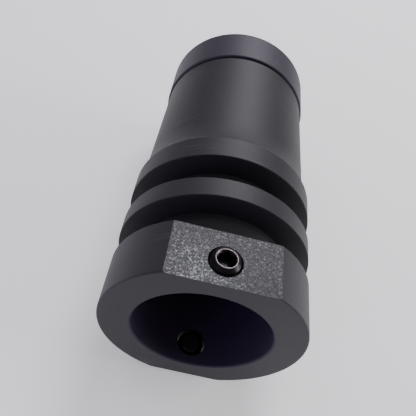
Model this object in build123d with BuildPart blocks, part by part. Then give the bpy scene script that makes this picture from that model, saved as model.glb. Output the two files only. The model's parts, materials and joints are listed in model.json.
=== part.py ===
"""Slip-on laser collimator: a Galilean beam expander that clamps over the head of a laser.

The optical axis is +Y. The mouth, which takes the laser, faces -Y, and the objective faces +Y.
The origin is the centre of the mouth face, and the upper clamp screw points along +Z.
All sizes are in millimetres. A turned piece is drawn as a half section, radius along X and
station along Y, and revolved about Y.
"""

import os
from math import sqrt

from build123d import *

# ---------------------------------------------------------------- driving dimensions
outer_radius = 17.0  # the bar that the clamp sleeve is turned from
bore_radius = 11.5  # takes a laser head of 22.9 mm
overall_length = 67.5

# clamp sleeve, by station from the mouth
collar_end = 9.5
fin_start = 14.6
fin_end = 18.5
land_start = 23.9
seam = 28.8  # where the sleeve ends and the neck barrel begins
groove_floor_radius = 12.6
upper_flat_height = 14.7
lower_flat_height = 15.6
bore_depth = 23.0
spigot_radius = 13.2
spigot_relief = 0.05  # play of the screwed spigot
seam_break = 0.12  # the two rims make a fine V where they meet

# neck barrel
neck_root_radius = 16.75
throat_station = 35.4
throat_radius = 15.88
neck_end = 57.45
neck_end_radius = 15.5
nose_radius = 14.75
nose_end = 61.0
web_bore_radius = 8.0
spigot_bore_radius = 11.0
relief_radius = 14.2
relief_start = 32.5

# laser stop washer, trapped between the sleeve's shoulder and the spigot
washer_thickness = 1.0
washer_seat_radius = 12.2
washer_bore_radius = 9.2

# input lens and its brass cell
input_flange_radius = 10.2
input_flange_start = 26.9
input_cell_end = 36.0
input_lens_radius = 4.5
input_lens_start = 28.1
input_lens_end = 30.7
input_curve_radius = 8.0
input_aperture_radius = 3.7
input_exit_radius = 6.6
input_rim_width = 0.5
input_seat_thickness = 1.2
baffle_bore_radius = 9.6
baffle_rim = 1.4
baffle_lip_end = 33.6
baffle_end = 35.2

# objective cell, which slides in the neck, and the focus ring that carries it
cell_radius = 13.9
slide_fit = 0.05
cell_start = 41.5
cell_bore_radius = 11.9
cell_mouth_radius = 12.6
cell_mouth_depth = 1.4
cell_flange_start = 61.8
cell_flange_end = 63.4
cell_end = 66.4
lens_radius = 12.7  # a 25.4 mm doublet
lens_seat = 57.6
crown_front_curve = 42.0
cemented_curve = 32.0
flint_back_curve = 100.0
flint_edge = 4.3
crown_edge = 1.4
shim_thickness = 0.25
retainer_thickness = 1.4
retainer_bore_radius = 11.9
o_ring_section = 1.2
o_ring_stations = (50.6, 54.6)
gland_depth = 1.15
gland_width = 1.5
stop_ring_radius = 14.1
stop_ring_width = 1.8
guide_pin_station = 46.6
guide_pin_radius = 0.75
guide_slot_end = 48.8
guide_pin_inner_reach = 12.9
guide_pin_outer_reach = 14.7
spanner_slot_width = 1.2
spanner_slot_depth = 0.6
ring_start = 57.8
ring_radius = 15.875
ring_lip_start = 63.45
ring_lip_end = 65.0
keeper_radius = 14.7
focus_travel = 1.5
relief_end = cell_start + focus_travel + 0.2  # the stop ring meets this shoulder past its travel
loose_fit = 0.02

# clamp screws, M5 x 0.8 x 4 with a plastic tip, backed off just clear of the bore
screw_station = 4.2
screw_radius = 2.5
screw_fit = 0.05
screw_top = 15.5
tip_end = 11.6
tip_thickness = 0.6
tip_radius = 1.7
tip_stem_radius = 1.0
tip_stem_length = 0.8
screw_top_chamfer = 0.7
screw_foot_chamfer = 0.4
socket_lead_in = 0.12
hex_across_flats = 2.5
hex_depth = 1.7
hole_countersink = 0.1

# edge finishing
edge_break = 0.2
mouth_break = 0.35
collar_break = 0.4


def sagitta(curve_radius, half_width):
    """Depth of a spherical surface over half its width."""
    return curve_radius - sqrt(curve_radius**2 - half_width**2)


def save(part, name):
    """Label one finished piece and write its STEP file."""
    part.label = name
    export_step(part, f"parts/{name}.step")


os.makedirs("parts", exist_ok=True)

# ---------------------------------------------------------------- clamp sleeve
# One turned piece: a clamping collar, two deep grooves with a fin between them, and a land.
with BuildPart() as clamp_sleeve:
    with BuildSketch(Plane.XY):
        with BuildLine():
            Polyline(
                (bore_radius, 0),
                (outer_radius, 0),
                (outer_radius, collar_end),
                (groove_floor_radius, collar_end),
                (groove_floor_radius, fin_start),
                (outer_radius, fin_start),
                (outer_radius, fin_end),
                (groove_floor_radius, fin_end),
                (groove_floor_radius, land_start),
                (outer_radius, land_start),
                (outer_radius, seam),
                (spigot_radius + spigot_relief, seam),
                (spigot_radius + spigot_relief, bore_depth + washer_thickness),
                (washer_seat_radius, bore_depth + washer_thickness),
                (washer_seat_radius, bore_depth),
                (bore_radius, bore_depth),
                close=True,
            )
        make_face()
    revolve(axis=Axis.Y)
    rims = clamp_sleeve.edges().filter_by(GeomType.CIRCLE)
    outer_rims = rims.filter_by(lambda e: abs(e.radius - outer_radius) < 1e-6)
    mouth_rim = rims.filter_by(lambda e: abs(e.radius - bore_radius) < 1e-6).sort_by(Axis.Y)[0]
    chamfer(outer_rims.sort_by(Axis.Y)[0], collar_break)
    chamfer(outer_rims.sort_by(Axis.Y)[1:-1], edge_break)
    chamfer(outer_rims.sort_by(Axis.Y)[-1], seam_break)
    fillet(mouth_rim, mouth_break)
    # milled flats, above and below, each with a tapped hole through to the bore
    for side, height in ((1, upper_flat_height), (-1, lower_flat_height)):
        with Locations((0, 0, side * height)):
            Box(
                2 * outer_radius,
                collar_end,
                outer_radius,
                align=(Align.CENTER, Align.MIN, Align.MIN if side > 0 else Align.MAX),
                mode=Mode.SUBTRACT,
            )
        with Locations(Plane((0, screw_station, side * height), z_dir=(0, 0, side))):
            CounterSinkHole(
                radius=screw_radius + screw_fit,
                counter_sink_radius=screw_radius + screw_fit + hole_countersink,
                depth=height,
                counter_sink_angle=90,
            )
save(clamp_sleeve.part, "clamp_sleeve")

# ---------------------------------------------------------------- laser stop washer
with BuildPart() as laser_stop_washer:
    with BuildSketch(Plane.XZ.offset(-bore_depth)):
        Circle(washer_seat_radius - loose_fit)
        Circle(washer_bore_radius, mode=Mode.SUBTRACT)
    extrude(amount=-washer_thickness)
save(laser_stop_washer.part, "laser_stop_washer")

# ---------------------------------------------------------------- neck barrel
# Its spigot screws into the sleeve. Outside, a short flare falls to a long tapered neck, and a
# threaded nose at the far end carries the focus ring.
spigot_start = bore_depth + washer_thickness
with BuildPart() as neck_barrel:
    with BuildSketch(Plane.XY):
        with BuildLine():
            taper = Line((neck_end_radius, neck_end), (throat_radius, throat_station))
            TangentArc(taper @ 1, (neck_root_radius, seam), tangent=taper % 1)
            Polyline(
                (neck_root_radius, seam),
                (spigot_radius, seam),
                (spigot_radius, spigot_start),
                (spigot_bore_radius, spigot_start),
                (spigot_bore_radius, seam),
                (web_bore_radius, seam),
                (web_bore_radius, relief_start),
                (relief_radius, relief_start),
                (relief_radius, relief_end),
                (cell_radius + slide_fit, relief_end),
                (cell_radius + slide_fit, nose_end),
                (nose_radius, nose_end),
                (nose_radius, neck_end),
                (neck_end_radius, neck_end),
            )
        make_face()
    revolve(axis=Axis.Y)
    circles = neck_barrel.edges().filter_by(GeomType.CIRCLE)
    for radius, which, size in (
        (spigot_radius, 0, edge_break),
        (nose_radius, -1, edge_break),
        (neck_end_radius, 0, edge_break),
        (neck_root_radius, 0, seam_break),
    ):
        rim = circles.filter_by(lambda e, r=radius: abs(e.radius - r) < 1e-6).sort_by(Axis.Y)[which]
        chamfer(rim, size)
    # blind hole for the pin that keeps the objective cell from turning
    with BuildSketch(Plane.YZ.offset(guide_pin_inner_reach)):
        with Locations((guide_pin_station, 0)):
            Circle(guide_pin_radius)
    extrude(amount=guide_pin_outer_reach + loose_fit - guide_pin_inner_reach, mode=Mode.SUBTRACT)
save(neck_barrel.part, "neck_barrel")

with BuildPart() as focus_guide_pin:
    with BuildSketch(Plane.YZ.offset(guide_pin_inner_reach)):
        with Locations((guide_pin_station, 0)):
            Circle(guide_pin_radius - loose_fit / 2)
    extrude(amount=guide_pin_outer_reach - guide_pin_inner_reach)
    chamfer(focus_guide_pin.faces().sort_by(Axis.X)[0].edges(), edge_break)
save(focus_guide_pin.part, "focus_guide_pin")

# ---------------------------------------------------------------- input lens and its cell
pocket_radius = input_lens_radius + loose_fit
with BuildPart() as input_lens_cell:
    with BuildSketch(Plane.XY):
        with BuildLine():
            Polyline(
                (pocket_radius, input_flange_start),
                (input_flange_radius, input_flange_start),
                (input_flange_radius, seam),
                (web_bore_radius - loose_fit, seam),
                (web_bore_radius - loose_fit, input_cell_end),
                (input_exit_radius, input_cell_end),
                (input_aperture_radius, input_lens_end + input_seat_thickness),
                (input_aperture_radius, input_lens_end),
                (pocket_radius, input_lens_end),
                close=True,
            )
        make_face()
    revolve(axis=Axis.Y)
    # two notches across the flange for a pin spanner
    with Locations(*[(x, input_flange_start, 0) for x in (-input_flange_radius, input_flange_radius)]):
        Box(2 * spanner_slot_width, 2 * spanner_slot_depth, spanner_slot_width, mode=Mode.SUBTRACT)
    chamfer(
        input_lens_cell.edges()
        .filter_by(GeomType.CIRCLE)
        .filter_by(lambda e: abs(e.radius - web_bore_radius + loose_fit) < 1e-6)
        .sort_by(Axis.Y)[-1],
        edge_break,
    )
save(input_lens_cell.part, "input_lens_cell")

# a plano-concave lens, hollow side towards the laser
hollow_radius = input_lens_radius - input_rim_width
hollow_pole = (0, input_lens_start + sagitta(input_curve_radius, hollow_radius))
with BuildPart() as input_lens:
    with BuildSketch(Plane.XY):
        with BuildLine():
            Polyline(
                (hollow_radius, input_lens_start),
                (input_lens_radius, input_lens_start),
                (input_lens_radius, input_lens_end),
                (0, input_lens_end),
                hollow_pole,
            )
            RadiusArc(hollow_pole, (hollow_radius, input_lens_start), input_curve_radius)
        make_face()
    revolve(axis=Axis.Y)
save(input_lens.part, "input_lens")

input_ring_start = input_flange_start + edge_break
with BuildPart() as input_retaining_ring:
    with BuildSketch(Plane.XZ.offset(-input_ring_start)):
        Circle(input_lens_radius)
        Circle(input_aperture_radius, mode=Mode.SUBTRACT)
    extrude(amount=-(input_lens_start - input_ring_start))
    with Locations((0, input_ring_start, 0)):
        Box(2 * outer_radius, spanner_slot_depth, spanner_slot_width, mode=Mode.SUBTRACT)
save(input_retaining_ring.part, "input_retaining_ring")

# ---------------------------------------------------------------- stray-light baffle
baffle_outer_radius = relief_radius - loose_fit
with BuildPart() as baffle_ring:
    with BuildSketch(Plane.XY):
        with BuildLine():
            Polyline(
                (baffle_bore_radius, relief_start),
                (baffle_outer_radius, relief_start),
                (baffle_outer_radius, baffle_end),
                (baffle_outer_radius - baffle_rim, baffle_end),
                (baffle_bore_radius, baffle_lip_end),
                close=True,
            )
        make_face()
    revolve(axis=Axis.Y)
save(baffle_ring.part, "baffle_ring")

# ---------------------------------------------------------------- objective cell
lens_pocket_radius = lens_radius + loose_fit
with BuildPart() as objective_cell:
    with BuildSketch(Plane.XY):
        with BuildLine():
            Polyline(
                (cell_mouth_radius, cell_start),
                (cell_radius, cell_start),
                (cell_radius, cell_flange_start),
                (keeper_radius, cell_flange_start),
                (keeper_radius, cell_flange_end),
                (cell_radius, cell_flange_end),
                (cell_radius, cell_end),
                (lens_pocket_radius, cell_end),
                (lens_pocket_radius, lens_seat),
                (cell_bore_radius, lens_seat),
                (cell_bore_radius, cell_start + cell_mouth_depth),
                close=True,
            )
        make_face()
        # glands for the damping rings
        with Locations(*[(cell_radius, station) for station in o_ring_stations]):
            Rectangle(2 * gland_depth, gland_width, mode=Mode.SUBTRACT)
    revolve(axis=Axis.Y)
    # keyway for the guide pin, open at the back so that the cell can be slid in
    slot_width = 2 * guide_pin_radius + 0.1
    slot_start = cell_start - stop_ring_width
    slot_depth = 2 * (cell_radius - guide_pin_inner_reach + loose_fit + edge_break)
    with Locations((cell_radius, (slot_start + guide_slot_end) / 2, 0)):
        Box(slot_depth, guide_slot_end - slot_start, slot_width, mode=Mode.SUBTRACT)
save(objective_cell.part, "objective_cell")

with BuildPart() as damping_o_rings:
    for station in o_ring_stations:
        with BuildSketch(Plane.XY):
            with Locations((cell_radius + slide_fit - o_ring_section / 2, station)):
                Circle(o_ring_section / 2 - loose_fit)
        revolve(axis=Axis.Y)
save(damping_o_rings.part, "damping_o_rings")

# a ring screwed on the back of the cell: the far stop of the focus travel
with BuildPart() as travel_stop_ring:
    with BuildSketch(Plane.XZ.offset(-(cell_start - stop_ring_width))):
        Circle(stop_ring_radius)
        Circle(cell_mouth_radius, mode=Mode.SUBTRACT)
    extrude(amount=-stop_ring_width)
    with Locations((0, cell_start - stop_ring_width, 0)):
        Box(spanner_slot_width, 2 * spanner_slot_depth, 2 * outer_radius, mode=Mode.SUBTRACT)
save(travel_stop_ring.part, "travel_stop_ring")

# ---------------------------------------------------------------- cemented objective
flint_back_edge = lens_seat
joint_edge = flint_back_edge + flint_edge
crown_front_edge = joint_edge + crown_edge
back_pole = (0, flint_back_edge - sagitta(flint_back_curve, lens_radius))
joint_pole = (0, joint_edge - sagitta(cemented_curve, lens_radius))
front_pole = (0, crown_front_edge + sagitta(crown_front_curve, lens_radius))
with BuildPart() as objective_flint:
    with BuildSketch(Plane.XY):
        with BuildLine():
            RadiusArc(back_pole, (cell_bore_radius, flint_back_edge), -flint_back_curve)
            Polyline(
                (cell_bore_radius, flint_back_edge),
                (lens_radius, flint_back_edge),
                (lens_radius, joint_edge),
            )
            RadiusArc((lens_radius, joint_edge), joint_pole, cemented_curve)
            Line(joint_pole, back_pole)
        make_face()
    revolve(axis=Axis.Y)
save(objective_flint.part, "objective_flint")

with BuildPart() as objective_crown:
    with BuildSketch(Plane.XY):
        with BuildLine():
            RadiusArc(joint_pole, (lens_radius, joint_edge), -cemented_curve)
            Line((lens_radius, joint_edge), (lens_radius, crown_front_edge))
            RadiusArc((lens_radius, crown_front_edge), front_pole, -crown_front_curve)
            Line(front_pole, joint_pole)
        make_face()
    revolve(axis=Axis.Y)
save(objective_crown.part, "objective_crown")

# a thin shim spaces the retaining ring off the crown's curved face
shim_start = crown_front_edge + sagitta(crown_front_curve, lens_radius) - sagitta(
    crown_front_curve, retainer_bore_radius
)
with BuildPart() as lens_shim:
    with BuildSketch(Plane.XZ.offset(-shim_start)):
        Circle(lens_radius)
        Circle(retainer_bore_radius, mode=Mode.SUBTRACT)
    extrude(amount=-shim_thickness)
save(lens_shim.part, "lens_shim")

retainer_start = shim_start + shim_thickness
with BuildPart() as objective_retaining_ring:
    with BuildSketch(Plane.XY):
        with BuildLine():
            Polyline(
                (retainer_bore_radius, retainer_start),
                (lens_radius, retainer_start),
                (lens_radius, retainer_start + retainer_thickness),
                (retainer_bore_radius + edge_break, retainer_start + retainer_thickness),
                (retainer_bore_radius, retainer_start + retainer_thickness - edge_break),
                close=True,
            )
        make_face()
    revolve(axis=Axis.Y)
    # two slots for a lens spanner
    with Locations((0, retainer_start + retainer_thickness, 0)):
        Box(2 * outer_radius, 2 * spanner_slot_depth, spanner_slot_width, mode=Mode.SUBTRACT)
save(objective_retaining_ring.part, "objective_retaining_ring")

# ---------------------------------------------------------------- focus ring
# Screws along the nose of the neck. Its inner lip is held between the flange of the objective
# cell and the keeper ring, so the cell goes with it but does not turn.
with BuildPart() as focus_ring:
    with BuildSketch(Plane.XY):
        with BuildLine():
            Polyline(
                (nose_radius + slide_fit, ring_start),
                (ring_radius, ring_start),
                (ring_radius, overall_length),
                (keeper_radius + slide_fit, overall_length),
                (keeper_radius + slide_fit, ring_lip_end),
                (cell_radius + slide_fit, ring_lip_end),
                (cell_radius + slide_fit, ring_lip_start),
                (nose_radius + slide_fit, ring_lip_start),
                close=True,
            )
        make_face()
    revolve(axis=Axis.Y)
    ring_rims = (
        focus_ring.edges()
        .filter_by(GeomType.CIRCLE)
        .filter_by(lambda e: abs(e.radius - ring_radius) < 1e-6)
        .sort_by(Axis.Y)
    )
    chamfer(ring_rims[0], edge_break)
    fillet(ring_rims[-1], 0.5)
save(focus_ring.part, "focus_ring")

with BuildPart() as ring_keeper:
    with BuildSketch(Plane.XZ.offset(-(ring_lip_end + slide_fit))):
        Circle(keeper_radius)
        Circle(cell_radius + loose_fit, mode=Mode.SUBTRACT)
    extrude(amount=-(cell_end - ring_lip_end - slide_fit))
    with Locations((0, cell_end, 0)):
        Box(spanner_slot_width, 2 * spanner_slot_depth, 2 * outer_radius, mode=Mode.SUBTRACT)
save(ring_keeper.part, "ring_keeper")

# ---------------------------------------------------------------- clamp screws and their tips
screw_foot = tip_end + tip_thickness
for name, side in (("upper", 1), ("lower", -1)):
    head_plane = Plane((0, screw_station, side * screw_top), x_dir=(0, 1, 0), z_dir=(0, 0, side))
    foot_plane = head_plane.offset(screw_foot - screw_top)
    with BuildPart() as clamp_screw:
        with BuildSketch(foot_plane):
            Circle(screw_radius)
        extrude(amount=screw_top - screw_foot)
        ends = clamp_screw.edges().filter_by(GeomType.CIRCLE).sort_by(Axis.Z)
        chamfer(ends[side > 0], screw_top_chamfer)
        chamfer(ends[side < 0], screw_foot_chamfer)
        with BuildSketch(head_plane):
            RegularPolygon(hex_across_flats / 2, 6, major_radius=False)
        extrude(amount=-hex_depth, mode=Mode.SUBTRACT)
        # the socket's mouth has a round lead-in that takes off the corners
        with BuildSketch(head_plane):
            Circle(hex_across_flats / sqrt(3))
        extrude(amount=-socket_lead_in, taper=30, mode=Mode.SUBTRACT)
        with BuildSketch(foot_plane):
            Circle(tip_stem_radius + screw_fit)
        extrude(amount=tip_stem_length + screw_fit, mode=Mode.SUBTRACT)
    save(clamp_screw.part, f"{name}_clamp_screw")

    with BuildPart() as clamp_tip:
        with BuildSketch(foot_plane.offset(-loose_fit)):
            Circle(tip_radius)
        extrude(amount=loose_fit - tip_thickness)
        chamfer(clamp_tip.faces().sort_by(Axis.Z)[0 if side > 0 else -1].edges(), edge_break / 2)
        with BuildSketch(foot_plane.offset(-loose_fit)):
            Circle(tip_stem_radius)
        extrude(amount=tip_stem_length)
    save(clamp_tip.part, f"{name}_clamp_tip")
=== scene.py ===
# %% [markdown]
# # A slip-on laser collimator
# The real object is a short tube of black anodised aluminium. A wide sleeve at one end slips over
# a laser and is held by two small grub screws, and a focus ring at the other end moves a lens.
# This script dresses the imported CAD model. Every piece is drawn in the CAD model's own frame:
# the optical axis is Y, the mouth for the laser is at y = 0, and the upper screw points along Z.

# %% Load the frame
import json
from math import cos, pi, radians, sin, sqrt, tan

import bmesh
import bpy
from mathutils import Matrix, Vector

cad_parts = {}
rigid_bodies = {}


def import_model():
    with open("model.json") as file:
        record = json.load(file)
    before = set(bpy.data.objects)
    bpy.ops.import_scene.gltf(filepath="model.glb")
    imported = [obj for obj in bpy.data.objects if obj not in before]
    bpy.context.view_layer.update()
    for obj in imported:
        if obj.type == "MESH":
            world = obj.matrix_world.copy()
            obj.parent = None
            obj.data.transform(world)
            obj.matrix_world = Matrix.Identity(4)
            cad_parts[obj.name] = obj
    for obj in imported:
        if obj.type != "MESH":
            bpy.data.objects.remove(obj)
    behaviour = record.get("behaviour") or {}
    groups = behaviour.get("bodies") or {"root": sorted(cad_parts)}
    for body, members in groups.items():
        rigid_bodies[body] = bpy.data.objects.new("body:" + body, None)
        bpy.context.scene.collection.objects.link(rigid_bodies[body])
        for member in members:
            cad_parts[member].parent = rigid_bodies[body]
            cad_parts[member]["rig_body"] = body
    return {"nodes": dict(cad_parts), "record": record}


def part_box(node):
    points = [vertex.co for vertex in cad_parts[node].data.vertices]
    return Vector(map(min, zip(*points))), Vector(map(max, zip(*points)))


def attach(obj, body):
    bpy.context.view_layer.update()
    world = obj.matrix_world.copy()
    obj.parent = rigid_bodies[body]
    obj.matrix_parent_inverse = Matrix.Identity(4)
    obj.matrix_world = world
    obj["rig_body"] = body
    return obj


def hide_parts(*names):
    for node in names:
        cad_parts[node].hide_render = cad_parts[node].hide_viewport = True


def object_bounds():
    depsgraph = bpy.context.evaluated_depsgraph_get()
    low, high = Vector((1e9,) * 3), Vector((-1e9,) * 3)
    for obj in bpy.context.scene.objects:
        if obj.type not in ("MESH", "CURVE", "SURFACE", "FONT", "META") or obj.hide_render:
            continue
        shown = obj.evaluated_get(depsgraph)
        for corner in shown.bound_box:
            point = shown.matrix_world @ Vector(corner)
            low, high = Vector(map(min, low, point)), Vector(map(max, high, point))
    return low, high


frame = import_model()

cad_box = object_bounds()
mm = 0.001
print("CAD box in mm:", [[round(c / mm, 2) for c in corner] for corner in cad_box])

# %% [markdown]
# ## Working out sizes from the frame
# The box of each CAD part gives its radius and its ends, so small helpers read a part's reach
# along the axis and its outer radius in millimetres. A box doesn't show the steps in between,
# so those are written out, in the CAD model's sizes, where each piece is made.


# %% Read sizes from the CAD parts
def ends(node):
    """Where a part starts and ends along the optical axis, in millimetres."""
    low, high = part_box(node)
    return low.y / mm, high.y / mm


def outer_radius(node):
    """A turned part's largest radius, in millimetres."""
    low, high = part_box(node)
    return (high.x - low.x) / 2 / mm


def mount(name):
    """One of the record's mounts, by name."""
    return next(m for m in frame["record"]["mounts"] if m["name"] == name)


sleeve_radius = outer_radius("clamp_sleeve")
sleeve_end = ends("clamp_sleeve")[1]
bore_radius = mount("laser_socket")["dims"]["r_mm"]
slot_of = {part["node"]: part["material_slot"] for part in frame["record"]["subparts"]}
print("sleeve radius", round(sleeve_radius, 2), "bore radius", bore_radius)

# %% [markdown]
# ## Colour and node helpers
# Colours are written as the hex values that a paint program shows. Blender mixes light in linear
# values, so one function converts them. A second one adds a shader or geometry node, sets it up
# and links it. Three more build the pieces that nearly every finish needs: a noise, a mix of two
# colours and a bump. They keep each material short enough to read.


# %% Helpers for colours and nodes
def linear(hex_colour):
    """A hex colour as linear red, green, blue and alpha."""
    channels = [int(hex_colour[i : i + 2], 16) / 255 for i in (1, 3, 5)]
    return [c / 12.92 if c <= 0.04045 else ((c + 0.055) / 1.055) ** 2.4 for c in channels] + [1]


def add_node(tree, kind, inputs=None, **settings):
    """Adds a node, sets its properties, and fills or links its inputs."""
    node = tree.nodes.new(kind)
    for key, value in settings.items():
        setattr(node, key, value)
    for key, value in (inputs or {}).items():
        if isinstance(value, bpy.types.NodeSocket):
            tree.links.new(value, node.inputs[key])
        else:
            node.inputs[key].default_value = value
    return node


def new_material(name, colour, **shader_inputs):
    """A material with a Principled shader, and its node tree, coordinates and shader."""
    material = bpy.data.materials.new(name)
    material.use_nodes = True
    tree = material.node_tree
    shader = tree.nodes["Principled BSDF"]
    shader.inputs["Base Color"].default_value = linear(colour)
    for key, value in shader_inputs.items():
        shader.inputs[key.replace("_", " ")].default_value = value
    place = add_node(tree, "ShaderNodeTexCoord").outputs["Object"]
    return material, tree, place, shader


def noise(tree, place, grain_mm, detail=2.0):
    """Random light and dark patches about as wide as grain_mm."""
    values = {"Vector": place, "Scale": 1 / (grain_mm * mm), "Detail": detail}
    return add_node(tree, "ShaderNodeTexNoise", values).outputs["Fac"]


def mixed(tree, factor, first, second):
    """A colour between two others."""
    values = {"Factor": factor, "A": first, "B": second}
    return add_node(tree, "ShaderNodeMix", values, data_type="RGBA").outputs["Result"]


def bump(tree, height, depth_mm, over=None):
    """A surface normal that follows a height, on top of another normal if there is one."""
    values = {"Height": height, "Distance": depth_mm * mm, "Strength": 1.0}
    if over is not None:
        values["Normal"] = over
    return add_node(tree, "ShaderNodeBump", values).outputs["Normal"]


# %% [markdown]
# ## Black anodised, bead-blasted aluminium
# Anodising grows a hard, dyed oxide skin on the metal. It behaves like a dark glaze: nearly black
# straight on, grey where light skims it. Bead blasting before it leaves dimples about a tenth of
# a millimetre wide, which spread every reflection. The grain here is drawn at 0.25 mm, coarse
# enough to show. Turned faces keep a trace of rings from the lathe, a third of a millimetre
# apart, and here and there a ring has rubbed lighter. The focus ring gets a lighter, more violet
# copy of the finish: painted light, standing for the violet back light on its top.


# %% Material: anodised aluminium
cloud_mm = 5
grain_mm = 0.25
ring_mm = 0.35
ring_depth = 0.006
round_stretch = 0.02  # draws the noise out into rings round the axis


def anodised_aluminium(name, colour, tint, mark, roughness, dimple_depth):
    """Bead-blasted aluminium under a black oxide skin, with the last traces of the lathe."""
    material, tree, place, shader = new_material(name, colour, Roughness=roughness)
    cloud = noise(tree, place, cloud_mm, 3.0)
    shade = mixed(tree, cloud, linear(colour), linear(tint))
    along_axis = add_node(
        tree, "ShaderNodeMapping", {"Vector": place, "Scale": (round_stretch, 1.0, round_stretch)}
    )
    rings = noise(tree, along_axis.outputs["Vector"], ring_mm, 4.0)
    lines = add_node(
        tree, "ShaderNodeMapRange", {"Value": rings, "From Min": 0.6, "From Max": 0.72}
    )
    patches = add_node(
        tree, "ShaderNodeMapRange", {"Value": cloud, "From Min": 0.5, "From Max": 0.64}
    )
    marks = add_node(
        tree,
        "ShaderNodeMath",
        {0: lines.outputs["Result"], 1: patches.outputs["Result"]},
        operation="MULTIPLY",
    )
    marked = mixed(tree, marks.outputs[0], shade, linear(mark))
    tree.links.new(marked, shader.inputs["Base Color"])
    dimples = bump(tree, noise(tree, place, grain_mm, 3.0), dimple_depth)
    tree.links.new(bump(tree, rings, ring_depth, dimples), shader.inputs["Normal"])
    return material


blasted = anodised_aluminium(
    "BlackAnodisedAluminium", "#28252b", "#1f1c24", "#454247", 0.57, 0.025
)
# painted light: the focus ring's lighter, more violet copy of the finish stands for the violet light
# from behind on its top
ring_painted_violet = anodised_aluminium(
    "VioletBlackAnodisedRing", "#36323e", "#2b2733", "#4a4652", 0.56, 0.025
)
# painted light: the bore gets a lighter, more violet copy of the black finish, standing for the light
# that reaches inside the bore
bore_painted_light = anodised_aluminium("BlackAnodisedBore", "#372c44", "#2a1f38", "#372c44", 0.7, 0.015)


# %% [markdown]
# ## The milled flats
# The flats were cut after turning and blasted with a coarser grit, so they look sandy; their grey,
# lighter than the black finish, is painted light for the glancing light they reflect. A noise 0.26 mm
# across gives each grain its own tilt and brightness, and the few grains that face the light sparkle.
# The upper flat is lighter near its front edge: a painted highlight where the back light reflects.


# %% Material: gritty milled flat
grit_mm = 0.26
grit_depth = 0.13


def gritty_flat(highlight_place):
    """Grit-blasted aluminium under a thin oxide skin; its grey and a highlight round one place are
    painted light.
    """
    # painted light: the grey base colour and tone ramp, lighter than the black finish, stand for the
    # glancing light the flat reflects; the sandy grain itself is real
    material, tree, place, shader = new_material("GritBlastedFlat", "#4a4b4e", Roughness=0.45)
    sand = noise(tree, place, grit_mm, 4.0)
    away = add_node(
        tree, "ShaderNodeVectorMath", {0: place, 1: Vector(highlight_place) * mm}, operation="DISTANCE"
    )
    # painted highlight: the flat is made lighter within a few millimetres of one place near its front
    # edge, where the back light's reflection falls
    painted_highlight = add_node(
        tree,
        "ShaderNodeMapRange",
        {
            "Value": away.outputs["Value"],
            "From Min": 1.0 * mm,
            "From Max": 8.0 * mm,
            "To Min": 0.1,
            "To Max": -0.02,
        },
    )
    level = add_node(
        tree, "ShaderNodeMath", {0: sand, 1: painted_highlight.outputs["Result"]}, operation="ADD"
    )
    tone = add_node(tree, "ShaderNodeValToRGB", {"Fac": level.outputs[0]})
    darkest, lightest = tone.color_ramp.elements
    darkest.position, lightest.position = 0.32, 0.76
    darkest.color, lightest.color = linear("#1d1e20"), linear("#c4c6c8")
    for step_place, shade in ((0.47, "#3a3b3d"), (0.6, "#595b5e")):
        step = tone.color_ramp.elements.new(step_place)
        step.color = linear(shade)
    tree.links.new(tone.outputs["Color"], shader.inputs["Base Color"])
    tree.links.new(bump(tree, sand, grit_depth), shader.inputs["Normal"])
    return material


# the painted highlight sits near the front edge of the upper flat
flat_finish = gritty_flat((-3.5, 0.5, 14.7))

# %% [markdown]
# ## Steel, brass, plastic, rubber and glass
# The grub screws are alloy steel with a black oxide finish, worn bright where a hex key rubs.
# The input lens sits in a turned brass cell. Black acetal pads keep the screws off the laser, a
# nylon shim and washer keep metal off the glass, and nitrile rings damp the focus. The lenses
# are glass with a thin violet coating that only shows in reflections.


# %% Materials: the small parts
def plain_grained(name, colour, tint, grain_mm, depth_mm, **shader_inputs):
    """A one-colour finish with a fine grain in both its colour and its surface."""
    material, tree, place, shader = new_material(name, colour, **shader_inputs)
    grain = noise(tree, place, grain_mm, 4.0)
    shade = mixed(tree, grain, linear(colour), linear(tint))
    tree.links.new(shade, shader.inputs["Base Color"])
    tree.links.new(bump(tree, grain, depth_mm), shader.inputs["Normal"])
    return material


black_oxide = plain_grained(
    "BlackOxideSteel", "#3a3638", "#27252a", 0.5, 0.01, Metallic=1.0, Roughness=0.32
)
worn_steel = plain_grained(
    "WornSteelEdge", "#99938c", "#5e5348", 0.9, 0.01, Metallic=1.0, Roughness=0.28
)
turned_brass = plain_grained(
    "TurnedBrass", "#b08d4a", "#a07f40", 0.8, 0.004, Metallic=1.0, Roughness=0.3
)
natural_nylon = plain_grained(
    "NaturalNylon", "#d9d6cb", "#cfccc0", 0.5, 0.01, Roughness=0.45, Subsurface_Weight=0.1
)
black_acetal = plain_grained("BlackAcetal", "#1c1b1e", "#242326", 0.6, 0.006, Roughness=0.4)
nitrile = plain_grained("NitrileRubber", "#141415", "#1b1b1c", 0.4, 0.01, Roughness=0.6)


def coated_glass(name, colour):
    """Polished optical glass with an anti-reflection coating."""
    material, tree, place, shader = new_material(name, colour, Roughness=0.02, IOR=1.52)
    shader.inputs["Transmission Weight"].default_value = 1.0
    shader.inputs["Coat Weight"].default_value = 0.4
    shader.inputs["Coat Tint"].default_value = linear("#9a7be0")
    shade = mixed(tree, noise(tree, place, 5), linear(colour), linear("#f4f2fb"))
    tree.links.new(shade, shader.inputs["Base Color"])
    return material


crown_glass = coated_glass("CoatedCrownGlass", "#eef2fa")
flint_glass = coated_glass("CoatedFlintGlass", "#e9f0ee")
print(len(bpy.data.materials), "materials so far")

# %% [markdown]
# ## Turning on the lathe
# Nearly every piece here was made on a lathe, so one function makes them all: it takes half of
# the cross-section and spins it round the optical axis. Another rounds the corners of that
# section, because a real edge is never perfectly sharp and it is the tiny round that catches a
# line of light. The extra points just outside each round keep the flat faces flat-shaded.


# %% Helpers for turned pieces
flat_margin = 0.03


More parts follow.
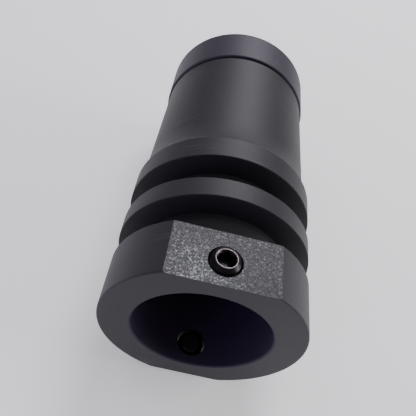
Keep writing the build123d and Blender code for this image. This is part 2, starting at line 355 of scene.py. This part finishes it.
def rounded(corners, steps=5):
    """An outline with rounded corners, from (radius, station, rounding) in millimetres."""
    outline = []
    for index, (radius, station, rounding) in enumerate(corners):
        here = Vector((radius, station))
        if not rounding:
            outline.append(here)
            continue
        back = (Vector(corners[index - 1][:2]) - here).normalized()
        ahead = (Vector(corners[(index + 1) % len(corners)][:2]) - here).normalized()
        half = back.angle(ahead) / 2
        reach = rounding / tan(half)
        centre = here + (back + ahead).normalized() * rounding / sin(half)
        first, last = here + back * reach - centre, here + ahead * reach - centre
        sweep = first.angle(last)
        outline.append(here + back * (reach + flat_margin))
        for step in range(steps + 1):
            share = step / steps
            spoke = first * sin((1 - share) * sweep) + last * sin(share * sweep)
            outline.append(centre + spoke / sin(sweep))
        outline.append(here + ahead * (reach + flat_margin))
    return outline


def new_piece(name, form, materials, smooth_below=35):
    """Turns a finished bmesh into an object with its materials."""
    mesh = bpy.data.meshes.new(name)
    bmesh.ops.recalc_face_normals(form, faces=form.faces)
    form.to_mesh(mesh)
    form.free()
    mesh.shade_smooth()
    mesh.set_sharp_from_angle(angle=radians(smooth_below))
    for material in materials:
        mesh.materials.append(material)
    piece = bpy.data.objects.new(name, mesh)
    bpy.context.scene.collection.objects.link(piece)
    return piece


def turned(name, outline, *materials, segments=256):
    """A closed piece turned about the Y axis from (radius, station) points in millimetres."""
    form = bmesh.new()
    angles = [2 * pi * i / segments for i in range(segments)]
    rings = []
    for radius, station in outline:
        around = [0] if radius < 1e-6 else angles
        rings.append(
            [form.verts.new(Vector((radius * cos(a), station, radius * sin(a))) * mm) for a in around]
        )
    for index, ring in enumerate(rings):
        other = rings[index - 1]
        for i in range(segments if len(ring) + len(other) > 2 else 0):
            j = i + 1
            corners = [r[k % len(r)] for r, k in ((ring, i), (ring, j), (other, j), (other, i))]
            form.faces.new(list(dict.fromkeys(corners)))
    return new_piece(name, form, materials)


def stand_for(piece, node):
    """The piece is shown in place of a CAD part and rides on its body."""
    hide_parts(node)
    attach(piece, frame["nodes"][node]["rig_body"])
    print(piece.name, "stands for", node, "with", len(piece.data.polygons), "faces")


def apply_modifiers(piece):
    """Replaces a piece's mesh by what its modifiers make of it."""
    graph = bpy.context.evaluated_depsgraph_get()
    mesh = bpy.data.meshes.new_from_object(piece.evaluated_get(graph))
    piece.modifiers.clear()
    piece.data = mesh


def cut(piece, *cutters):
    """Takes the cutters' shapes out of a piece; the new faces take the cutters' materials."""
    for cutter in cutters:
        step = piece.modifiers.new("cut", "BOOLEAN")
        step.operation = "DIFFERENCE"
        step.solver = "EXACT"
        step.material_mode = "TRANSFER"
        step.object = cutter
    apply_modifiers(piece)
    for cutter in cutters:
        bpy.data.objects.remove(cutter)
    piece.data.shade_smooth()
    piece.data.set_sharp_from_angle(angle=radians(20))


def turned_upright(name, outline, centre, side, *materials, segments=96):
    """A piece turned about Z, for what stands across the optical axis; side is 1 up or -1 down."""
    piece = turned(name, outline, *materials, segments=segments)
    spin = Matrix.Rotation(radians(90 * side), 4, "X")
    piece.data.transform(Matrix.Translation(Vector(centre) * mm) @ spin)
    return piece


# %% [markdown]
# ## The clamp sleeve
# This is the part the hand sees first: a collar, two deep grooves with a fin between them, and a
# land, all turned from one bar. The section is drawn once and spun. The two flats and the tapped
# holes are then cut out with solid shapes, exactly as a milling machine would, and the cutters
# carry the gritty finish that they leave behind.

# %% Make the clamp sleeve
collar_end = 9.5
fin_start, fin_end = 14.6, 18.5
land_start = 23.9
groove_floor = 12.6
washer_start, washer_end = ends("laser_stop_washer")
spigot_socket = 13.25
washer_socket = outer_radius("laser_stop_washer") + 0.02
upper_flat = 14.7
lower_flat = 15.6
tapped_radius = 2.55
hole_chamfer = 0.18
edge_round = 0.15
mouth_round = 0.35
lined_radius = bore_radius + 0.4  # the bore's lighter, more violet finish, painted light, ends just outside its round
tool_nose = 0.08  # the cutting tool leaves this much round in a groove's corners

sleeve = turned(
    "TurnedClampSleeve",
    rounded(
        [
            (bore_radius, 0, mouth_round),
            (sleeve_radius, 0, 0.3),
            (sleeve_radius, collar_end, edge_round),
            (groove_floor, collar_end, tool_nose),
            (groove_floor, fin_start, tool_nose),
            (sleeve_radius, fin_start, edge_round),
            (sleeve_radius, fin_end, edge_round),
            (groove_floor, fin_end, tool_nose),
            (groove_floor, land_start, tool_nose),
            (sleeve_radius, land_start, edge_round),
            (sleeve_radius, sleeve_end, 0.2),
            (spigot_socket, sleeve_end, 0),
            (spigot_socket, washer_end, 0),
            (washer_socket, washer_end, 0),
            (washer_socket, washer_start, 0),
            (bore_radius, washer_start, 0.05),
        ]
    ),
    blasted,
    segments=320,
)
sleeve.data.materials.append(bore_painted_light)
# the faces inside the bore get the painted-light copy of the finish
for face in sleeve.data.polygons:
    if face.center.xz.length / mm < lined_radius:
        face.material_index = 1


def flat_cutter(height, side):
    """A block whose face is the milled flat, with its back just clear of the collar's end."""
    form = bmesh.new()
    bmesh.ops.create_cube(form, size=1)
    reach = sleeve_radius * 1.2
    bmesh.ops.scale(form, verts=form.verts, vec=Vector((2 * reach, collar_end + 1, reach)) * mm)
    shift = Vector((0, (collar_end - 1) / 2 + 0.3, side * (height + reach / 2))) * mm
    bmesh.ops.translate(form, verts=form.verts, vec=shift)
    return new_piece("flat_cutter", form, [flat_finish])


cut(sleeve, flat_cutter(upper_flat, 1), flat_cutter(lower_flat, -1))
screw_station = (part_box("upper_clamp_screw")[0].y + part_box("upper_clamp_screw")[1].y) / 2 / mm
for side, height in ((1, upper_flat), (-1, lower_flat)):
    flared = tapped_radius + hole_chamfer
    hole = [(0, 4), (tapped_radius, 4), (tapped_radius, height - 0.12)]
    hole += [(flared, height + 0.06), (flared, height + 1), (0, height + 1)]
    cutter = turned_upright("hole_cutter", hole, (0, screw_station, 0), side, black_oxide)
    cut(sleeve, cutter)
stand_for(sleeve, "clamp_sleeve")

# %% [markdown]
# ## The neck barrel
# Behind the sleeve the tube flares in, then tapers very slightly towards the focus ring. The
# flare is an arc that meets the taper without a kink. Its last stretch is a thinner nose with the
# focus thread, which is mostly hidden under the ring and shows only as the dark gap.

# %% Make the neck barrel
neck_end, neck_end_radius = 57.45, 15.5
throat, throat_radius = 35.4, 15.88
root_radius = 16.75
nose_radius = 14.75
neck_start, nose_end = ends("neck_barrel")
slide_radius = 13.95
relief_start, relief_end, relief_radius = 32.5, 43.2, 14.2
light_radius = 8.0
spigot_radius, spigot_bore = 13.2, 11.0
slope = (throat_radius - neck_end_radius) / (neck_end - throat)
rise = root_radius - throat_radius - slope * (throat - sleeve_end)
flare_radius = ((throat - sleeve_end) ** 2 + rise**2) / (2 * rise)


def flare(steps=16):
    """The outline of the flare, from its wide root to the throat."""
    points = []
    for step in range(1, steps + 1):
        station = sleeve_end + (throat - sleeve_end) * step / steps
        away = throat - station
        bulge = flare_radius - sqrt(flare_radius**2 - away**2)
        points.append((throat_radius + slope * away + bulge, station, 0))
    return points


seam_lip = [(root_radius - 0.22, sleeve_end, 0), (root_radius, sleeve_end + 0.18, 0)]
neck_inside = [
    (nose_radius, neck_end, 0.1),
    (nose_radius, nose_end, 0.15),
    (slide_radius, nose_end, 0),
    (slide_radius, relief_end, 0),
    (relief_radius, relief_end, 0),
    (relief_radius, relief_start, 0),
    (light_radius, relief_start, 0),
    (light_radius, sleeve_end, 0),
    (spigot_bore, sleeve_end, 0),
    (spigot_bore, neck_start, 0),
    (spigot_radius, neck_start, 0),
    (spigot_radius, sleeve_end, 0),
]
neck = turned(
    "TurnedNeckBarrel",
    rounded(seam_lip + flare() + [(neck_end_radius, neck_end, 0.3)] + neck_inside),
    blasted,
    segments=320,
)
stand_for(neck, "neck_barrel")

# %% [markdown]
# ## The focus ring
# A plain collar that screws along the nose. Its far edge is well rounded for the fingers.

# %% Make the focus ring
ring_start, ring_end = ends("focus_ring")
ring_radius = outer_radius("focus_ring")
lip_start, lip_end = 63.45, 65.0
thread_radius = nose_radius + 0.05
keeper_socket = 14.75
focus_ring = turned(
    "TurnedFocusRing",
    rounded(
        [
            (thread_radius, ring_start, 0.05),
            (ring_radius, ring_start, 0.3),
            (ring_radius, ring_end, 0.5),
            (keeper_socket, ring_end, 0.15),
            (keeper_socket, lip_end, 0),
            (slide_radius, lip_end, 0),
            (slide_radius, lip_start, 0),
            (thread_radius, lip_start, 0),
        ]
    ),
    ring_painted_violet,
    segments=320,
)
stand_for(focus_ring, "focus_ring")

# %% [markdown]
# ## Grub screws with a real thread
# Each clamp screw is an M5 grub screw, 0.8 mm of pitch, with a hex socket. A thread is a shape
# that follows a rule, so Geometry Nodes makes it: a spiral curve carries a small triangular
# ridge, and the tree joins it to the turned core. The pitch, radius and number of turns are
# inputs, so the same tree would make any screw.


# %% Geometry Nodes: thread
def thread_tree():
    """A node tree that winds a triangular ridge round a core."""
    tree = bpy.data.node_groups.new("ScrewThread", "GeometryNodeTree")
    tree.interface.new_socket("Geometry", in_out="INPUT", socket_type="NodeSocketGeometry")
    for name in ("Radius", "Pitch", "Turns", "Ridge", "Start"):
        tree.interface.new_socket(name, in_out="INPUT", socket_type="NodeSocketFloat")
    tree.interface.new_socket("Material", in_out="INPUT", socket_type="NodeSocketMaterial")
    tree.interface.new_socket("Geometry", in_out="OUTPUT", socket_type="NodeSocketGeometry")
    given = add_node(tree, "NodeGroupInput").outputs
    height = add_node(
        tree, "ShaderNodeMath", {0: given["Pitch"], 1: given["Turns"]}, operation="MULTIPLY"
    )
    centre_line = add_node(
        tree, "ShaderNodeMath", {0: given["Radius"], 1: given["Ridge"]}, operation="SUBTRACT"
    )
    spiral = add_node(
        tree,
        "GeometryNodeCurveSpiral",
        {
            "Resolution": 64,
            "Rotations": given["Turns"],
            "Start Radius": centre_line.outputs[0],
            "End Radius": centre_line.outputs[0],
            "Height": height.outputs[0],
        },
    )
    upright = add_node(
        tree, "GeometryNodeSetCurveNormal", {"Curve": spiral.outputs["Curve"]}, mode="Z_UP"
    )
    triangle = add_node(
        tree, "GeometryNodeCurvePrimitiveCircle", {"Resolution": 3, "Radius": given["Ridge"]}
    )
    ridge = add_node(
        tree,
        "GeometryNodeCurveToMesh",
        {
            "Curve": upright.outputs["Curve"],
            "Profile Curve": triangle.outputs["Curve"],
            "Fill Caps": True,
        },
    )
    lift = add_node(tree, "ShaderNodeCombineXYZ", {"Z": given["Start"]})
    placed = add_node(
        tree,
        "GeometryNodeTransform",
        {"Geometry": ridge.outputs["Mesh"], "Translation": lift.outputs["Vector"]},
    )
    finished = add_node(
        tree,
        "GeometryNodeSetMaterial",
        {"Geometry": placed.outputs["Geometry"], "Material": given["Material"]},
    )
    joined = add_node(tree, "GeometryNodeJoinGeometry", {"Geometry": given["Geometry"]})
    tree.links.new(finished.outputs["Geometry"], joined.inputs["Geometry"])
    whole = add_node(
        tree, "GeometryNodeRealizeInstances", {"Geometry": joined.outputs["Geometry"]}
    )
    add_node(tree, "NodeGroupOutput", {"Geometry": whole.outputs["Geometry"]})
    return tree


def run_tree(piece, tree, **values):
    """Gives a piece a Geometry Nodes tree, sets its inputs, and keeps the resulting mesh."""
    step = piece.modifiers.new("nodes", "NODES")
    step.node_group = tree
    for item in tree.interface.items_tree:
        if item.in_out == "INPUT" and item.name in values:
            step[item.identifier] = values[item.name]
    apply_modifiers(piece)


# %% [markdown]
# The core of each screw is turned, its socket is cut with a six-sided block, and the node tree
# adds the thread. The rim of the socket, where the key rubs, is bare steel.

# %% Make the screws
screw_thread = thread_tree()
pitch = 0.8
core_radius, major_radius = 2.1, 2.5
cone_radius = 2.36
foot_radius = 1.8
foot_socket = 1.06  # the plastic pad is pressed into this
socket_flat = 1.25  # half of what the hex key measures across its flats
mouth_radius = 1.58
lead_in = 0.32


def hex_cutter(top):
    """The hole that a hex key leaves; the round lead-in at its mouth comes from the screw's own
    outline.
    """
    form = bmesh.new()
    corner = socket_flat / cos(radians(30)) * mm
    bmesh.ops.create_cone(
        form, cap_ends=True, segments=6, radius1=corner, radius2=corner, depth=3.4 * mm
    )
    bmesh.ops.translate(form, verts=form.verts, vec=(0, 0, top * mm))
    return new_piece("hex_cutter", form, [black_oxide])


for name, side in (("upper", 1), ("lower", -1)):
    low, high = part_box(f"{name}_clamp_screw")
    length = (high.z - low.z) / mm
    screw = turned(
        f"{name.title()}GrubScrew",
        rounded(
            [
                (foot_socket, 0, 0),
                (foot_radius, 0, 0.05),
                (core_radius, 0.35, 0.05),
                (core_radius, length - 0.75, 0.05),
                (cone_radius, length - 0.56, 0.05),
                (1.78, length, 0.06),
                (mouth_radius, length, 0.06),
                (socket_flat, length - lead_in, 0),
                (0, length - lead_in, 0),
                (0, 0.86, 0),
                (foot_socket, 0.86, 0),
            ]
        ),
        black_oxide,
        worn_steel,
        segments=96,
    )
    screw.data.transform(Matrix.Rotation(radians(90), 4, "X"))
    for face in screw.data.polygons:
        near_mouth = abs(face.center.xy.length / mm - mouth_radius) < 0.07
        if near_mouth and face.center.z / mm > length - 0.1:
            face.material_index = 1
    cut(screw, hex_cutter(length))
    run_tree(
        screw,
        screw_thread,
        Radius=major_radius * mm,
        Pitch=pitch * mm,
        Turns=(length - 1.3) / pitch,
        Ridge=0.26 * mm,
        Start=0.4 * mm,
        Material=black_oxide,
    )
    foot = low.z if side > 0 else high.z
    centre = Vector(((low.x + high.x) / 2, (low.y + high.y) / 2, foot))
    turn = Matrix.Rotation(0 if side > 0 else pi, 4, "X")
    screw.data.transform(Matrix.Translation(centre) @ turn)
    stand_for(screw, f"{name}_clamp_screw")

# %% [markdown]
# ## Parts that keep their CAD shape
# The rest is inside the tube. Those parts have the right form already, so they keep it, and each
# one gets the finish of its real material.

# %% Dress the remaining CAD parts
finish_of = {
    "brass": turned_brass,
    "nylon": natural_nylon,
    "nitrile_rubber": nitrile,
    "optical_glass": crown_glass,
    "black_anodised_aluminium": blasted,
    "blackened_steel": black_oxide,
    "black_acetal": black_acetal,
}
for node, part in frame["nodes"].items():
    if part.hide_render:
        continue
    finish = flint_glass if node == "objective_flint" else finish_of[slot_of[node]]
    part.data.materials.clear()
    part.data.materials.append(finish)
    print(node, "keeps its CAD shape and is", finish.name)

# %% [markdown]
# ## The floor
# The object lies on a sheet of pale acrylic with a weak light under it.

# %% Floor
floor_level = cad_box[0].z
bpy.ops.mesh.primitive_circle_add(
    vertices=96, radius=1.5, fill_type="NGON", location=(0, 0, floor_level - 0.05 * mm)
)
floor = bpy.context.object
floor.name = "Floor"
floor_paint = plain_grained(
    "BacklitAcrylic", "#fafafc", "#f7f7fa", 40, 0.0, Roughness=0.9, Emission_Strength=0.4
)
floor.data.materials.append(floor_paint)
print("the floor lies at", round(floor_level / mm, 2), "mm")

# %% [markdown]
# ## The lights
# Most of the light comes from a wide panel high behind the object, so the flats shine and the
# grooves stay dark. Weaker panels from the right, the left and above round the tube off, and a
# faint sky fills the rest.


# %% Lights
def panel(name, place, size, watts, colour, aim=(0, 0.03, 0)):
    """A soft round light at a place, turned to face the object; distances are in metres."""
    light = bpy.data.lights.new(name, "AREA")
    light.shape = "DISK"
    light.size = size
    light.energy = watts
    light.color = linear(colour)[:3]
    lamp = bpy.data.objects.new(name, light)
    lamp.location = place
    lamp.rotation_euler = (Vector(aim) - Vector(place)).to_track_quat("-Z", "Y").to_euler()
    bpy.context.scene.collection.objects.link(lamp)
    print(name, "gives", watts, "W")


panel("BackPanel", (0.05, 0.35, 0.33), 0.22, 1.35, "#f9f6ff")
panel("TopPanel", (0.03, 0.06, 0.42), 0.26, 0.18, "#fffaf5")
panel("TopLeftPanel", (-0.22, 0.10, 0.36), 0.2, 0.2, "#e9e8ff")
panel("RightPanel", (0.42, 0.05, 0.14), 0.22, 0.89, "#ffffff")
panel("FrontLeftPanel", (-0.30, -0.30, 0.10), 0.2, 0.3, "#c9bcff")
sky = bpy.data.worlds.new("PaleSky")
bpy.context.scene.world = sky
sky.use_nodes = True
sky.node_tree.nodes["Background"].inputs["Color"].default_value = linear("#f6f6fa")
sky.node_tree.nodes["Background"].inputs["Strength"].default_value = 0.24

# %% [markdown]
# ## The camera
# The camera looks down into the mouth from close by, which makes the mouth look much larger than
# the far end. Its place is given in sleeve radii, and its lens suits a 36 mm sensor.

# %% Camera
camera_data = bpy.data.cameras.new("Camera")
camera = bpy.data.objects.new("Camera", camera_data)
bpy.context.scene.collection.objects.link(camera)
bpy.context.scene.camera = camera
camera_data.sensor_width = 36
camera_data.lens = 42.4
camera_data.clip_start = 0.003
camera_data.clip_end = 10
looking = Vector((0.0786, 0.6725, -0.736)).normalized()
upward = Vector((-0.2365, 0.7297, 0.6415))
across = looking.cross(upward).normalized()
upward = across.cross(looking)
turned_to_object = Matrix((across, upward, -looking)).transposed().to_4x4()
standing_at = Vector((-0.577, -2.215, 4.154)) * sleeve_radius * mm
camera.matrix_world = Matrix.Translation(standing_at) @ turned_to_object
print("the camera is", round(standing_at.length / mm), "mm from the mouth")
